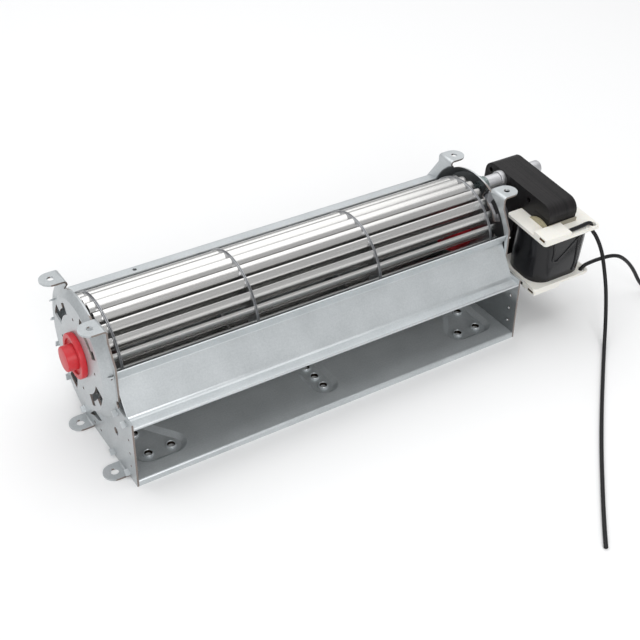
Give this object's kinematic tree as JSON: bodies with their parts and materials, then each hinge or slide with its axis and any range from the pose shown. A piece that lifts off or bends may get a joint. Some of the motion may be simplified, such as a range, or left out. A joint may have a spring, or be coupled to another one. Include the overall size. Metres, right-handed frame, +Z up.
{
  "type": "cross flow fan",
  "caption": "Cross flow fan: a drum impeller of curved blades between two pressed steel end plates, with a scroll sheet, an open outlet, a red bearing mount and a shaded pole motor with leads.",
  "frame": {"origin": "middle of the four base holes, on the mounting surface", "axes": "+X along the impeller towards the motor, +Y from the outlet to the back, +Z up from the base"},
  "size_m": [0.382, 0.2511, 0.0854],
  "materials": {
    "galvanised": "satin, galvanised",
    "blade_aluminium": "bright rolled",
    "disc_steel": "satin",
    "bright_steel": "ground",
    "red_silicone": "matt",
    "bearing_bronze": "sintered",
    "black_laminations": "satin black lacquer",
    "rotor_steel": "turned",
    "die_cast": "die-cast",
    "zinc_plated": "zinc plated",
    "former_nylon": "moulded",
    "coil_tape": "semi-gloss black tape",
    "terminal_brass": "plain",
    "lead_sleeve": "satin"
  },
  "bodies": {
    "housing": {"bearing_end_plate": "galvanised", "motor_end_plate": "galvanised", "scroll_sheet": "galvanised", "tongue_sheet": "galvanised", "bearing_mount": "red_silicone", "bearing_bush": "bearing_bronze", "front_bearing": "bearing_bronze", "rear_bearing": "bearing_bronze", "stator_core": "black_laminations", "coil_leg": "black_laminations", "front_bracket": "die_cast", "rear_bracket": "die_cast", "motor_screws": "zinc_plated", "screw_washers": "zinc_plated", "screw_nuts": "zinc_plated", "coil_former": "former_nylon", "coil_winding": "coil_tape", "terminals": "terminal_brass", "lead_a": "lead_sleeve", "lead_b": "lead_sleeve", "lead_b_coil": "lead_sleeve"},
    "impeller": {"impeller_blades": "blade_aluminium", "end_disc_bearing": "disc_steel", "ring_disc_1": "disc_steel", "ring_disc_2": "disc_steel", "end_disc_motor": "disc_steel", "bearing_hub": "bright_steel", "stub_shaft": "bright_steel", "hub_cushion": "red_silicone", "hub_sleeve": "bright_steel", "motor_shaft": "bright_steel", "motor_rotor": "rotor_steel"}
  },
  "joints": [
    {"name": "impeller_spin", "type": "hinge", "parent": "housing", "child": "impeller", "pos_m": [0, 0.0135, 0.0518], "axis": [1, 0, 0], "continuous": true}
  ]
}
